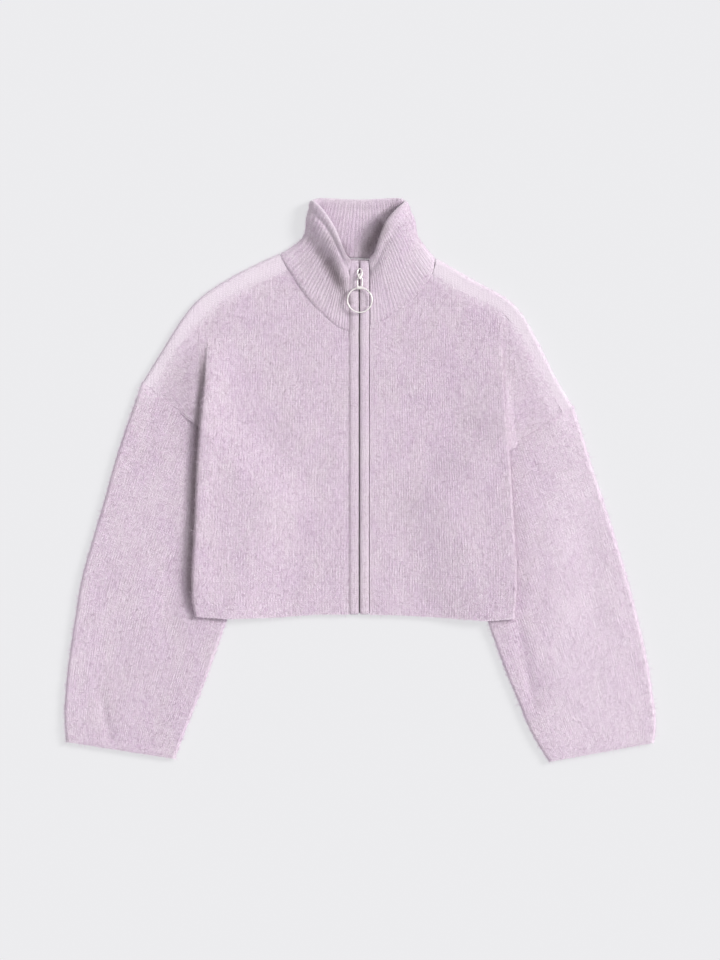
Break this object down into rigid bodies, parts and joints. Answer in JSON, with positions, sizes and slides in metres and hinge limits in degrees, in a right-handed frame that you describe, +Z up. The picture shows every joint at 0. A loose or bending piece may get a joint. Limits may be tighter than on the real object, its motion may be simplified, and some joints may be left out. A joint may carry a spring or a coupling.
{
  "type": "cropped zip cardigan laid flat",
  "caption": "Cropped zip-through cardigan in brushed pale lilac knit, with a ribbed funnel collar, dropped shoulders, wide sleeves and a ring zip pull, laid flat.",
  "frame": {"origin": "centre of the bounding box's bottom, on the surface that the garment lies on", "axes": "+Z up out of the front, +Y towards the collar, +X towards the wearer's left sleeve"},
  "size_m": [0.7982, 0.7591, 0.0288],
  "materials": {
    "knit": "brushed hairy knit",
    "rib": "brushed one by one rib",
    "tape": "woven zip tape",
    "teeth": "dull coil",
    "silver": "polished pale silver"
  },
  "bodies": {
    "garment": {"back": "knit", "front_right": "knit", "front_left": "knit", "sleeve_right": "knit", "sleeve_left": "knit", "collar": "rib", "band_right": "rib", "band_left": "rib", "zip_tape_right": "tape", "zip_tape_left": "tape", "zip_teeth": "teeth", "slider": "silver"},
    "link": {"pull_link": "silver"},
    "ring": {"pull_ring": "silver"}
  },
  "joints": [
    {"name": "link_swing", "type": "hinge", "parent": "garment", "child": "link", "pos_m": [-0.0003, 0.27313, 0.01472], "axis": [-1, 0, 0], "range_deg": [0, 100]},
    {"name": "ring_swing", "type": "hinge", "parent": "link", "child": "ring", "pos_m": [-0.0003, 0.25993, 0.01472], "axis": [-1, 0, 0], "range_deg": [0, 80]}
  ]
}
